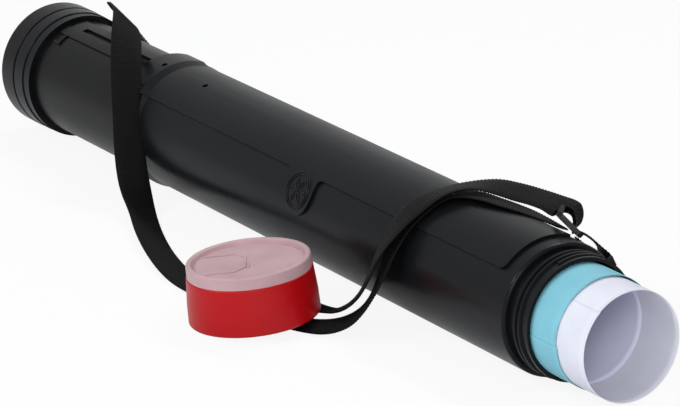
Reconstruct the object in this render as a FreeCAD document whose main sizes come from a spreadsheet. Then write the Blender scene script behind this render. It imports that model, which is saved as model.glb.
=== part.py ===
"""Telescopic drawing tube with a webbing strap, its screw cap off and two rolled sheets in it.

The tube lies along X with its open, threaded mouth at +X. Every tube piece is drawn in the tube's
own frame: X along the axis from the shoulder, and angles about the axis that start at the top
line and grow towards the front (-Y). Each finished piece is then lifted to the tube's place, so
that the whole object stands on z = 0.
"""
import math
import os

import FreeCAD
import Part
import Sketcher

V = FreeCAD.Vector
X_AXIS = V(1, 0, 0)

DIMENSIONS = [
    # where the tube's axis and shoulder are
    ("shoulder_x", 332.2), ("axis_y", 54.4), ("axis_z", 53.2),
    # outer tube
    ("body_radius", 50), ("wall", 2), ("body_length", 556),
    ("band_radius", 52), ("band_length", 26), ("band_taper", 9),
    ("shoulder_round", 2.5),
    ("neck_length", 23.5), ("neck_radius", 45), ("neck_bore", 43.2), ("neck_step", 8),
    ("lip_height", 0.9), ("lip_length", 2.6),
    ("thread_start", 4.4), ("thread_depth", 1.8), ("thread_base", 3), ("thread_crest", 1.3),
    ("thread_pitch", 5.2), ("thread_travel", 12),
    # raised saddle along the outer tube, hollow over the inner tube's key
    ("saddle_radius", 52.2), ("saddle_step", 2), ("saddle_mid", 15), ("saddle_half", 35),
    ("saddle_end", 15), ("corner_round", 6),
    ("keyway_radius", 50.3), ("keyway_mid", 21), ("keyway_half", 23.5), ("keyway_end", 24),
    ("sight_diameter", 5), ("sight_near", 472), ("sight_far", 536), ("sight_angle", 15.5),
    # medallion hanging from the saddle's front edge
    ("medal_x", 278), ("medal_angle", 65.5), ("medal_radius", 19), ("medal_fillet", 4.5),
    # moulded strap eyes on the back
    ("eye_near", 22), ("eye_near_angle", -62), ("eye_near_top", 54.4), ("eye_near_root", 48.5),
    ("eye_far", 547), ("eye_far_angle", -80), ("eye_far_top", 56.6), ("eye_far_root", 46.4),
    ("eye_inside", 27), ("eye_cheek", 3), ("eye_bar", 4), ("eye_foot", 8),
    # inner tube with its key
    ("slide_gap", 0.1), ("inner_back", 744.6), ("inner_front", 164),
    ("key_height", 1.4), ("key_mid", 14), ("key_half", 15), ("key_back", 698), ("key_front", 184),
    ("slot_mid", 13.3), ("slot_half", 3.1), ("slot_floor", 47.1), ("slot_back", 676),
    ("slot_front", 196),
    ("latch_back", 696.8), ("latch_width", 3), ("latch_mid", 8.5), ("latch_half", 8.5),
    ("catch_x", 686), ("catch_width", 2.2), ("catch_mid", 34), ("catch_half", 7.5),
    ("catch_foot", 7), ("catch_height", 1.5),
    # base cap
    ("base_back", 749), ("base_front", 701), ("base_radius", 53.2), ("base_floor", 4),
    ("base_step", 728), ("base_groove", 1.6), ("base_groove_radius", 51.7), ("base_ring", 52.8),
    ("base_ledge", 712), ("base_band", 51.9), ("base_bead", 1.4), ("base_bead_radius", 52.4),
    ("base_round", 1.6), ("base_edge_round", 0.6),
    # screw cap, off, and the disc set in its top
    ("cap_x", 222), ("cap_y", 119), ("cap_tilt", 6.3), ("cap_heading", 57.8),
    ("cap_rim_radius", 49.3), ("cap_waist_radius", 48.9), ("cap_waist", 16),
    ("cap_top_radius", 47.2), ("cap_height", 36), ("cap_bore", 47.2),
    ("cap_foot", 1.9), ("cap_round", 1.2), ("cap_shelf", 32), ("cap_stop", 28),
    ("cap_seat", 45.4), ("cap_ledge", 43),
    ("disc_plug", 45.3), ("disc_flange", 46.6), ("disc_top", 45.4), ("disc_floor", 41.8),
    ("disc_rim", 4.2), ("disc_skin", 1.6), ("disc_round", 1.8),
    ("tongue_half", 21), ("tongue_reach", 45), ("ridge_width", 1.8), ("ridge_height", 0.8),
    ("tick_length", 11), ("tick_start", 2),
    # rolled sheets
    ("sheet_width", 594),
    ("teal_out", 54), ("teal_radius", 42.3), ("teal_wall", 0.5), ("teal_drop", 0.8),
    ("white_out", 84.5), ("white_radius", 41.2), ("white_wall", 0.6), ("white_drop", 1.3),
    ("lap_step", 0.2), ("teal_lap", 93), ("white_lap", 95),
    # strap and buckle
    ("strap_section", 3),
    ("buckle_x", -39.5), ("buckle_y", 33.8), ("buckle_z", 46.9), ("buckle_wide", 33),
    ("buckle_long", 24), ("buckle_thick", 3.2), ("buckle_bar", 4), ("buckle_slot", 27),
    ("buckle_tab", 6.5),
    ("loop_inner", 56.5), ("loop_outer", 58.9), ("loop_back", 34.5), ("loop_wide", 25),
    ("loop_mid", -58), ("loop_half", 8.5),
]


def dimension_sheet(doc):
    """The spreadsheet that every piece is bound to, one named cell for each dimension."""
    sheet = doc.addObject("Spreadsheet::Sheet", "Dims")
    for row, (name, value) in enumerate(DIMENSIONS, start=1):
        sheet.set(f"A{row}", name)
        sheet.set(f"B{row}", str(value))
        sheet.setAlias(f"B{row}", name)
    doc.recompute()
    return sheet


def bind(item, **sizes):
    """Bind properties to formulas on the sheet. A double underscore stands for a dot."""
    for prop, formula in sizes.items():
        item.setExpression(prop.replace("__", "."), formula)
    return item


def origin_plane(body, role):
    return next(item for item in body.Origin.OriginFeatures if item.Role == role)


def new_sketch(body, name, role):
    sketch = body.newObject("Sketcher::SketchObject", name)
    sketch.AttachmentSupport = [(origin_plane(body, role), "")]
    sketch.MapMode = "FlatFace"
    return sketch


def locate(sketch, line, start_or_end, formulas):
    """Fix one line end by its two coordinates, each a formula on the sheet."""
    point = sketch.Geometry[line].StartPoint if start_or_end == 1 else sketch.Geometry[line].EndPoint
    for kind, formula, place in zip(("DistanceX", "DistanceY"), formulas, (point.x, point.y)):
        index = sketch.addConstraint(
            Sketcher.Constraint(kind, -1, 1, line, start_or_end, place))
        sketch.setExpression(f"Constraints[{index}]", formula)


def worth(doc, formula):
    """What a formula comes to now, read through a spare cell of the sheet."""
    doc.Dims.set("D1", f"={formula}")
    doc.Dims.recompute()
    return float(doc.Dims.get("D1"))


def polygon(body, name, role, corners):
    """A closed outline of straight lines whose corners are pairs of formulas."""
    sketch = new_sketch(body, name, role)
    places = [V(worth(body.Document, a), worth(body.Document, b), 0) for a, b in corners]
    for start, end in zip(places, places[1:] + places[:1]):
        sketch.addGeometry(Part.LineSegment(start, end))
    for line in range(len(places)):
        sketch.addConstraint(
            Sketcher.Constraint("Coincident", line, 2, (line + 1) % len(places), 1))
    for line, corner in enumerate(corners):
        locate(sketch, line, 1, corner)
    sketch.Visibility = False
    return sketch


def turned(body, name, corners, role="XY_Plane", axis="H_Axis"):
    """A solid of revolution from an outline of corners, about one axis of its sketch."""
    outline = polygon(body, f"{name}Outline", role, corners)
    solid = body.newObject("PartDesign::Revolution", name)
    solid.Profile = outline
    solid.ReferenceAxis = (outline, [axis])
    solid.Angle = 360
    return solid


def rounded(body, feature, name, radius, circles):
    """Fillet the circular edges that have these centres along the axis and these radii."""
    doc = body.Document
    doc.recompute()
    wanted = [(worth(doc, place), worth(doc, size)) for place, size in circles]
    edges = []
    for index, edge in enumerate(feature.Shape.Edges, start=1):
        if not isinstance(edge.Curve, Part.Circle):
            continue
        centre = edge.Curve.Center
        for place, size in wanted:
            if abs(centre.x + centre.z - place) < 0.01 and abs(edge.Curve.Radius - size) < 0.01:
                edges.append(f"Edge{index}")
    if len(edges) < len(wanted):
        raise RuntimeError(f"{name}: {len(edges)} edges found for {len(wanted)} circles")
    fillet = body.newObject("PartDesign::Fillet", name)
    fillet.Base = (feature, edges)
    return bind(fillet, Radius=radius)


def new_body(doc, name):
    body = doc.addObject("PartDesign::Body", name)
    return body


def cut(doc, name, base, tool):
    item = doc.addObject("Part::Cut", name)
    item.Base = base
    item.Tool = tool
    item.Refine = False
    return item


def common(doc, name, base, tool):
    item = doc.addObject("Part::Common", name)
    item.Base = base
    item.Tool = tool
    return item


def fuse(doc, name, pieces):
    item = doc.addObject("Part::MultiFuse", name)
    item.Shapes = pieces
    item.Refine = False
    return item


def box(doc, name, length, width, height, x="0", y="0", z="0"):
    item = doc.addObject("Part::Box", name)
    return bind(item, Length=length, Width=width, Height=height,
                Placement__Base__x=x, Placement__Base__y=y, Placement__Base__z=z)


def post(doc, name, radius, height="60", x="0", y="0", z="0"):
    item = doc.addObject("Part::Cylinder", name)
    item.Placement = FreeCAD.Placement(V(), FreeCAD.Rotation(V(0, 0, 1), 40))
    return bind(item, Radius=radius, Height=height,
                Placement__Base__x=x, Placement__Base__y=y, Placement__Base__z=z)


def pointed_out(item, x, angle):
    """Turn a piece drawn about the top line, at x = 0, to another angle and place."""
    item.Placement = FreeCAD.Placement(V(), FreeCAD.Rotation(X_AXIS, 1))
    return bind(item, Placement__Base__x=x, Placement__Rotation__Angle=angle)


def sector(doc, name, inner, outer, back, length, mid, half):
    """A slice of a pipe about the tube's axis: radii, start, length, middle angle, half angle."""
    along = FreeCAD.Rotation(V(0, 0, 1), V(0, -1, 0), V(1, 0, 0), "ZXY")
    shells = []
    for side, radius in (("Out", outer), ("In", inner)):
        shell = doc.addObject("Part::Cylinder", f"{name}{side}")
        shell.Placement = FreeCAD.Placement(V(), along)
        bind(shell, Radius=radius, Height=length, Angle=f"2 * ({half})")
        shells.append(shell)
    return pointed_out(cut(doc, name, *shells), back, f"{mid} - ({half})")


def place_on_tube(item, label):
    """Name a finished piece and lift it from the tube's own frame to where the tube lies."""
    item.Label = label
    return bind(item, Placement__Base__x="Dims.shoulder_x", Placement__Base__y="Dims.axis_y",
                Placement__Base__z="Dims.axis_z")


# ---- outer tube ------------------------------------------------------------------------------

def outer_shell(doc):
    """The shell: belled end band, body, rounded shoulder, threaded neck and lip."""
    body = new_body(doc, "OuterShell")
    bore = "Dims.body_radius - Dims.wall"
    back = "-Dims.body_length"
    lip = "Dims.neck_radius + Dims.lip_height"
    shell = turned(body, "Shell", [
        (back, bore),
        (back, "Dims.band_radius"),
        (f"{back} + Dims.band_length", "Dims.band_radius"),
        (f"{back} + Dims.band_length + Dims.band_taper", "Dims.body_radius"),
        ("0", "Dims.body_radius"),
        ("0", "Dims.neck_radius"),
        ("Dims.neck_length - Dims.lip_length", "Dims.neck_radius"),
        ("Dims.neck_length - Dims.lip_length", lip),
        ("Dims.neck_length", lip),
        ("Dims.neck_length", "Dims.neck_bore"),
        ("-Dims.wall", "Dims.neck_bore"),
        ("-Dims.neck_step", bore),
    ])
    rounded(body, shell, "ShoulderRound", "Dims.shoulder_round", [("0", "Dims.body_radius")])
    root = "Dims.neck_radius - 0.4"
    crest = "Dims.neck_radius + Dims.thread_depth"
    start = "Dims.thread_start"
    flank = "(Dims.thread_base - Dims.thread_crest) / 2"
    tooth = polygon(body, "ToothOutline", "XY_Plane", [
        (start, root),
        (f"{start} + {flank}", crest),
        (f"{start} + {flank} + Dims.thread_crest", crest),
        (f"{start} + Dims.thread_base", root),
    ])
    doc.recompute()
    thread = body.newObject("PartDesign::AdditiveHelix", "NeckThread")
    thread.Profile = tooth
    thread.ReferenceAxis = (tooth, ["H_Axis"])
    thread.Mode = 0
    bind(thread, Pitch="Dims.thread_pitch", Height="Dims.thread_travel")
    return body


def saddle(doc):
    """The raised saddle, higher on the end band, with a tongue that carries the medallion."""
    inside = "Dims.body_radius - 1"
    back = "-Dims.body_length"
    edge = "Dims.saddle_mid + Dims.saddle_half"
    high = "Dims.saddle_radius + Dims.saddle_step"
    band = new_body(doc, "SaddleBand")
    arc = turned(band, "SaddleArc", [
        (back, inside),
        (back, high),
        (f"{back} + Dims.band_length", high),
        (f"{back} + Dims.band_length + Dims.band_taper", "Dims.saddle_radius"),
        ("-Dims.saddle_end", "Dims.saddle_radius"),
        ("-Dims.saddle_end", inside),
    ])
    bind(arc, Angle="2 * Dims.saddle_half")
    pointed_out(band, "0", "90 + Dims.saddle_mid - Dims.saddle_half")
    round_block = box(doc, "CornerBlock", "Dims.corner_round + 2", "Dims.corner_round + 2", "60",
                      x="-Dims.corner_round", y="-2")
    round_core = post(doc, "CornerCore", "Dims.corner_round", x="-Dims.corner_round",
                      y="Dims.corner_round")
    corner = cut(doc, "SaddleCorner", round_block, round_core)
    pointed_out(corner, "-Dims.saddle_end", edge)
    strip = cut(doc, "SaddleTrimmed", band, corner)
    reach = f"Dims.saddle_radius * sin((Dims.medal_angle - {edge.replace('+', '-')}) * 1 deg)"
    pieces = [
        post(doc, "MedalDisc", "Dims.medal_radius"),
        box(doc, "MedalNeck", "2 * Dims.medal_radius", f"{reach} + 2", "60",
            x="-Dims.medal_radius"),
    ]
    for name, centre, start in (
            ("Near", "Dims.medal_radius + Dims.medal_fillet", "Dims.medal_radius"),
            ("Far", "-Dims.medal_radius - Dims.medal_fillet",
             "-Dims.medal_radius - Dims.medal_fillet")):
        block = box(doc, f"Medal{name}Block", "Dims.medal_fillet", "Dims.medal_fillet + 2", "60",
                    x=start, y=f"{reach} - Dims.medal_fillet")
        hollow = post(doc, f"Medal{name}Hollow", "Dims.medal_fillet", x=centre,
                      y=f"{reach} - Dims.medal_fillet")
        pieces.append(cut(doc, f"Medal{name}Corner", block, hollow))
    prism = pointed_out(fuse(doc, "TonguePrism", pieces), "-Dims.medal_x", "Dims.medal_angle")
    skin = sector(doc, "TongueSkin", inside, "Dims.saddle_radius", "-Dims.medal_x - 40", "80",
                  "Dims.medal_angle", "30")
    return [strip, common(doc, "Tongue", prism, skin)]


def strap_eye(doc, name, x, angle, top, root, lengthwise):
    """A moulded eye: two cheeks and a round bar, lengthwise or across the tube."""
    inside = "Dims.eye_inside / 2"
    pieces = []
    for side, start in (("Low", f"-({inside}) - Dims.eye_cheek"), ("High", inside)):
        pieces.append(box(doc, f"{name}{side}Cheek", "Dims.eye_cheek", "Dims.eye_foot",
                          f"{top} + Dims.eye_bar / 2 - {root}",
                          x=start, y="-Dims.eye_foot / 2", z=root))
    bar = doc.addObject("Part::Cylinder", f"{name}Bar")
    bar.Placement = FreeCAD.Placement(V(), FreeCAD.Rotation(V(0, 1, 0), 90))
    bind(bar, Radius="Dims.eye_bar / 2", Height="Dims.eye_inside + 1",
         Placement__Base__x=f"-({inside}) - 0.5", Placement__Base__z=top)
    eye = fuse(doc, f"{name}Frame", pieces + [bar])
    if not lengthwise:
        eye.Placement = FreeCAD.Placement(V(), FreeCAD.Rotation(V(0, 0, 1), 90))
        holder = doc.addObject("Part::Compound", name)
        holder.Links = [eye]
        eye = holder
    return pointed_out(eye, x, angle)


def outer_tube(doc):
    raised = fuse(doc, "Saddle", saddle(doc))
    tube = fuse(doc, "SaddledShell", [outer_shell(doc), raised])
    cuts = [sector(doc, "Keyway", "Dims.body_radius - Dims.wall - 1", "Dims.keyway_radius",
                   "-Dims.body_length - 1", "Dims.body_length + 1 - Dims.keyway_end",
                   "Dims.keyway_mid", "Dims.keyway_half")]
    for name, place in (("SightNear", "-Dims.sight_near"), ("SightFar", "-Dims.sight_far")):
        hole = post(doc, name, "Dims.sight_diameter / 2")
        cuts.append(pointed_out(hole, place, "Dims.sight_angle"))
    for tool in cuts:
        tube = cut(doc, f"Less{tool.Name}", tube, tool)
    near = strap_eye(doc, "NearEye", "-Dims.eye_near", "Dims.eye_near_angle",
                     "Dims.eye_near_top", "Dims.eye_near_root", True)
    far = strap_eye(doc, "FarEye", "-Dims.eye_far", "Dims.eye_far_angle",
                    "Dims.eye_far_top", "Dims.eye_far_root", False)
    tube = fuse(doc, "WithNearEye", [tube, near])
    tube = fuse(doc, "WithFarEye", [tube, far])
    return place_on_tube(tube, "outer_tube")


# ---- inner tube and base cap -----------------------------------------------------------------

def inner_tube(doc):
    """The sliding tube, its grooved key, a stop slot and the hooked catch beside the key."""
    body = new_body(doc, "InnerShell")
    skin = "Dims.body_radius - Dims.wall - Dims.slide_gap"
    turned(body, "InnerWall", [
        ("-Dims.inner_back", f"{skin} - Dims.wall"),
        ("-Dims.inner_back", skin),
        ("-Dims.inner_front", skin),
        ("-Dims.inner_front", f"{skin} - Dims.wall"),
    ])
    crown = f"{skin} + Dims.key_height"
    key = sector(doc, "Key", f"{skin} - 1", crown, "-Dims.key_back",
                 "Dims.key_back - Dims.key_front", "Dims.key_mid", "Dims.key_half")
    hook = sector(doc, "CatchRib", f"{skin} - 1", f"{skin} + Dims.catch_height", "-Dims.catch_x",
                  "Dims.catch_width", "Dims.catch_mid", "Dims.catch_half")
    foot = sector(doc, "CatchFoot", f"{skin} - 1", f"{skin} + Dims.catch_height",
                  "-Dims.catch_x - Dims.catch_foot", "Dims.catch_foot + 1",
                  "Dims.catch_mid + Dims.catch_half - 1.4", "1.4")
    slot = sector(doc, "KeySlot", "Dims.slot_floor", "60", "-Dims.slot_back",
                  "Dims.slot_back - Dims.slot_front", "Dims.slot_mid", "Dims.slot_half")
    stop = sector(doc, "StopSlot", "Dims.slot_floor", "60", "-Dims.latch_back",
                  "Dims.latch_width", "Dims.latch_mid", "Dims.latch_half")
    tube = cut(doc, "InnerTube", fuse(doc, "InnerSolid", [body, key, hook, foot]),
               fuse(doc, "InnerCuts", [slot, stop]))
    return place_on_tube(tube, "inner_tube")


def base_cap(doc):
    """The closed end: a cup pressed onto the inner tube, with a groove, a ledge and a bead."""
    body = new_body(doc, "BaseCap")
    skin = "Dims.body_radius - Dims.wall - Dims.slide_gap"
    groove_end = "-Dims.base_step + Dims.base_groove"
    bead = "-Dims.base_front - Dims.base_bead"
    cup = turned(body, "Cup", [
        ("-Dims.base_back", "0"),
        ("-Dims.base_back", "Dims.base_radius"),
        ("-Dims.base_step", "Dims.base_radius"),
        ("-Dims.base_step", "Dims.base_groove_radius"),
        (groove_end, "Dims.base_groove_radius"),
        (groove_end, "Dims.base_ring"),
        ("-Dims.base_ledge", "Dims.base_ring"),
        ("-Dims.base_ledge", "Dims.base_band"),
        (bead, "Dims.base_band"),
        (bead, "Dims.base_bead_radius"),
        ("-Dims.base_front", "Dims.base_bead_radius"),
        ("-Dims.base_front", skin),
        ("-Dims.base_back + Dims.base_floor", skin),
        ("-Dims.base_back + Dims.base_floor", "0"),
    ])
    edge = rounded(body, cup, "CupRound", "Dims.base_round", [
        ("-Dims.base_back", "Dims.base_radius")])
    rounded(body, edge, "CupEdges", "Dims.base_edge_round", [
        ("-Dims.base_step", "Dims.base_radius"),
        ("-Dims.base_ledge", "Dims.base_ring")])
    return place_on_tube(body, "base_cap")


# ---- screw cap and its disc ------------------------------------------------------------------

def lay_cap(item, label, heading):
    """Rest a piece of the cap on the floor beside the tube, its far side lifted by the tilt."""
    item.Label = label
    across = V(math.sin(heading), -math.cos(heading), 0)
    item.Placement = FreeCAD.Placement(V(), FreeCAD.Rotation(across, 1))
    return bind(item, Placement__Rotation__Angle="Dims.cap_tilt",
                Placement__Base__x="Dims.shoulder_x - Dims.cap_x",
                Placement__Base__y="Dims.axis_y - Dims.cap_y",
                Placement__Base__z="(Dims.cap_rim_radius - Dims.cap_foot)"
                                   " * sin(Dims.cap_tilt * 1 deg)"
                                   " + Dims.cap_foot * (cos(Dims.cap_tilt * 1 deg) - 1) * -1")


def screw_cap(doc, heading):
    """The cap, mouth down: a tapered skirt, a stop ledge for the neck and a seat for the disc."""
    body = new_body(doc, "ScrewCap")
    skirt = turned(body, "Skirt", [
        ("Dims.cap_bore", "0"),
        ("Dims.cap_rim_radius", "0"),
        ("Dims.cap_waist_radius", "Dims.cap_waist"),
        ("Dims.cap_top_radius", "Dims.cap_height"),
        ("Dims.cap_seat", "Dims.cap_height"),
        ("Dims.cap_seat", "Dims.cap_shelf"),
        ("Dims.cap_ledge", "Dims.cap_shelf"),
        ("Dims.cap_ledge", "Dims.cap_stop"),
        ("Dims.cap_bore - 0.5", "Dims.cap_stop"),
    ], role="XZ_Plane", axis="V_Axis")
    top = rounded(body, skirt, "SkirtRound", "Dims.cap_round", [
        ("Dims.cap_height", "Dims.cap_top_radius")])
    rounded(body, top, "SkirtFoot", "Dims.cap_foot", [("0", "Dims.cap_rim_radius")])
    return lay_cap(body, "screw_cap", heading)


def cap_disc(doc, heading):
    """The dished disc in the cap's top, with a rolled rim and a low U-shaped thumb ridge."""
    body = new_body(doc, "CapDisc")
    lip = "Dims.disc_flange - Dims.disc_rim"
    under = "Dims.disc_floor - Dims.disc_skin"
    disc = turned(body, "Dish", [
        ("0", under),
        ("Dims.cap_ledge", under),
        ("Dims.cap_ledge", "Dims.cap_shelf"),
        ("Dims.disc_plug", "Dims.cap_shelf"),
        ("Dims.disc_plug", "Dims.cap_height"),
        ("Dims.disc_flange", "Dims.cap_height"),
        ("Dims.disc_flange", "Dims.disc_top"),
        (lip, "Dims.disc_top"),
        (f"{lip} - 1", "Dims.disc_floor"),
        ("0", "Dims.disc_floor"),
    ], role="XZ_Plane", axis="V_Axis")
    rounded(body, disc, "DishRound", "Dims.disc_round", [
        ("Dims.disc_top", "Dims.disc_flange"), ("Dims.disc_top", lip)])
    back = f"-({lip}) + 1"
    front = "-Dims.disc_flange + Dims.tongue_reach"
    ridge = polygon(body, "RidgeOutline", "XY_Plane", [
        (f"{back} + 2", "Dims.tongue_half"),
        (f"{front} - 8", "Dims.tongue_half"),
        (front, "Dims.tongue_half - 9"),
        (front, "-Dims.tongue_half + 9"),
        (f"{front} - 8", "-Dims.tongue_half"),
        (f"{back} + 2", "-Dims.tongue_half"),
        (f"{back} + 2", "-Dims.tongue_half + Dims.ridge_width"),
        (f"{front} - 8.6", "-Dims.tongue_half + Dims.ridge_width"),
        (f"{front} - Dims.ridge_width", "-Dims.tongue_half + 9.6"),
        (f"{front} - Dims.ridge_width", "Dims.tongue_half - 9.6"),
        (f"{front} - 8.6", "Dims.tongue_half - Dims.ridge_width"),
        (f"{back} + 2", "Dims.tongue_half - Dims.ridge_width"),
    ])
    tick = polygon(body, "TickOutline", "XY_Plane", [
        ("-Dims.ridge_width / 2", "-Dims.tick_start"),
        ("Dims.ridge_width / 2", "-Dims.tick_start"),
        ("Dims.ridge_width / 2", "-Dims.tick_start - Dims.tick_length"),
        ("-Dims.ridge_width / 2", "-Dims.tick_start - Dims.tick_length"),
    ])
    for name, outline in (("ThumbRidge", ridge), ("ThumbTick", tick)):
        outline.AttachmentOffset = FreeCAD.Placement(V(), FreeCAD.Rotation(V(0, 0, 1), 1))
        bind(outline, AttachmentOffset__Rotation__Angle="Dims.cap_heading",
             AttachmentOffset__Base__z=f"{under} + 0.5")
        pad = body.newObject("PartDesign::Pad", name)
        pad.Profile = outline
        bind(pad, Length="Dims.disc_skin - 0.5 + Dims.ridge_height")
    return lay_cap(body, "cap_disc", heading)


# ---- rolled sheets ---------------------------------------------------------------------------

def paper_roll(doc, label, out, radius, wall, drop, lap):
    """A roll of sheets whose outer edge ends in a step along the roll, at the lap angle."""
    name = "".join(word.capitalize() for word in label.split("_"))
    halves = []
    for half, size, up in (("Early", radius, 1), ("Late", f"{radius} - Dims.lap_step / 2", -1)):
        turn = FreeCAD.Rotation(V(0, 0, up), V(0, -up, 0), V(1, 0, 0), "ZXY")
        piece = doc.addObject("Part::Cylinder", f"{name}{half}")
        piece.Placement = FreeCAD.Placement(V(), turn)
        bind(piece, Radius=size, Height="Dims.sheet_width", Angle="180")
        if up < 0:
            bind(piece, Placement__Base__z="-Dims.lap_step / 2")
        halves.append(piece)
    bore = doc.addObject("Part::Cylinder", f"{name}Bore")
    bore.Placement = FreeCAD.Placement(V(), FreeCAD.Rotation(V(0, 1, 0), 90))
    bind(bore, Radius=f"{radius} - {wall}", Height="Dims.sheet_width")
    roll = cut(doc, name, fuse(doc, f"{name}Solid", halves), bore)
    roll.Label = label
    roll.Placement = FreeCAD.Placement(V(), FreeCAD.Rotation(X_AXIS, 1))
    return bind(roll, Placement__Rotation__Angle=lap,
                Placement__Base__x=f"Dims.shoulder_x + {out} - Dims.sheet_width",
                Placement__Base__y="Dims.axis_y",
                Placement__Base__z=f"Dims.axis_z - {drop}")


# ---- strap -----------------------------------------------------------------------------------

def on_tube(x, angle, radius):
    """A point of the tube's own frame from its place along, its angle and its radius."""
    turn = math.radians(angle)
    return (x, -radius * math.sin(turn), radius * math.cos(turn))


# from the far eye, round behind the inner tube, down in front, along the floor, under the cap
# and back over the tube to the buckle
MAIN_ROUTE = [
    (-549, 59.3, 10.5), (-566, 61, 5), (-588, 62, 0), (-612, 62.5, -4), (-636, 63, -4),
    (-662, 61.5, 1.5), (-684, 57.5, 17), (-691, 44, 38.5), (-684, 29.5, 51), (-667, 14.5, 60),
    (-648, 4, 67), (-626, -4, 73), (-603, -13, 75), (-583, -23, 72), (-566, -33, 64.5),
    (-551, -42, 53.5), (-539, -48.5, 39), (-529, -53, 22), (-521, -57, 4), (-515, -59.5, -12),
    (-508, -61.5, -26), (-497.5, -64, -37.5), (-482, -69, -45), (-461.5, -77, -48),
    (-437, -87.5, -48.6), (-410, -98, -48.8), (-381.5, -107.5, -49.2), (-352.5, -115, -50),
    (-324, -119.5, -51), (-296, -118.5, -51.5), (-269, -112, -51.7), (-242, -106, -51.7),
    (-216, -101.5, -51.7), (-191, -95, -51.2), (-170, -84.5, -48.2), (-156, -75, -40),
    (-147.5, -69, -28), (-143, -63.5, -14), (-141, -59, 0), on_tube(-140, 75, 56.5),
    on_tube(-139, 62, 55.4), on_tube(-137.5, 49, 54.8), on_tube(-135, 36, 54.6),
    on_tube(-132, 23, 54.6), on_tube(-126, 9, 54.8), on_tube(-115, -2, 54.5),
    on_tube(-101.5, -8.5, 54), on_tube(-87, -13, 53.9), on_tube(-73, -21, 53.9),
    on_tube(-60, -30, 53.6), on_tube(-46.5, -37.5, 53.6),
]

# from the buckle back along the top in an arch, over the main run, down the front to its end
TAIL_ROUTE = [
    (-39.5, 38.2, 44.0), (-43, 41.2, 49), (-50.5, 42.3, 51.8), (-60.5, 43, 52.2),
    (-72, 41.5, 53.2), (-85, 37, 54.4), (-98, 29.6, 56.0), (-109, 21.5, 58.2), (-117, 12.5, 59.0),
    (-123, 3, 58.6), on_tube(-127, 9, 58.1), on_tube(-130.5, 21, 57.9), on_tube(-134, 33, 57.8),
    on_tube(-137, 46, 58.1), on_tube(-139.5, 59, 58.6), on_tube(-143, 71, 59.8),
    on_tube(-147, 83, 62), (-153, -64, -9), (-163, -65, -24), (-176, -66, -36), (-192, -67.5, -45),
    (-210, -70.5, -49.5), (-228, -73, -51),
]


def cord(doc, label, route):
    """A plain round tube along a route of straight runs joined by tangent arcs."""
    radius = float(doc.Dims.get("strap_section")) / 2
    points = [V(*point) for point in route]
    edges = []
    radii = []
    start = points[0]
    for before, corner, after in zip(points, points[1:], points[2:]):
        entry = (corner - before)
        leave = (after - corner)
        turn = entry.getAngle(leave)
        bend = 0.45 * min(entry.Length, leave.Length) / math.tan(turn / 2)
        radii.append(bend)
        reach = bend * math.tan(turn / 2)
        entry.normalize()
        leave.normalize()
        first = corner - entry * reach
        last = corner + leave * reach
        inward = leave - entry
        inward.normalize()
        centre = corner + inward * (bend / math.cos(turn / 2))
        middle = centre - inward * bend
        edges.append(Part.LineSegment(start, first).toShape())
        edges.append(Part.Arc(first, middle, last).toShape())
        start = last
    edges.append(Part.LineSegment(start, points[-1]).toShape())
    path = Part.Wire(edges)
    heading = points[1] - points[0]
    ring = Part.Wire(Part.makeCircle(radius, points[0], heading))
    tube = path.makePipeShell([ring], True, False)
    expected = math.pi * radius ** 2 * path.Length
    print(f"{label}: length {path.Length:.0f} mm, least radius {min(radii):.1f} mm, "
          f"volume {tube.Volume / expected:.4f} of section x length")
    print("  radii", [round(item, 1) for item in radii])
    if not 0.99 < tube.Volume / expected < 1.01:
        raise RuntimeError(f"{label}: the tube's volume is wrong")
    item = doc.addObject("Part::Feature", "".join(word.capitalize() for word in label.split("_")))
    item.Shape = tube
    return place_on_tube(item, label)


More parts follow.
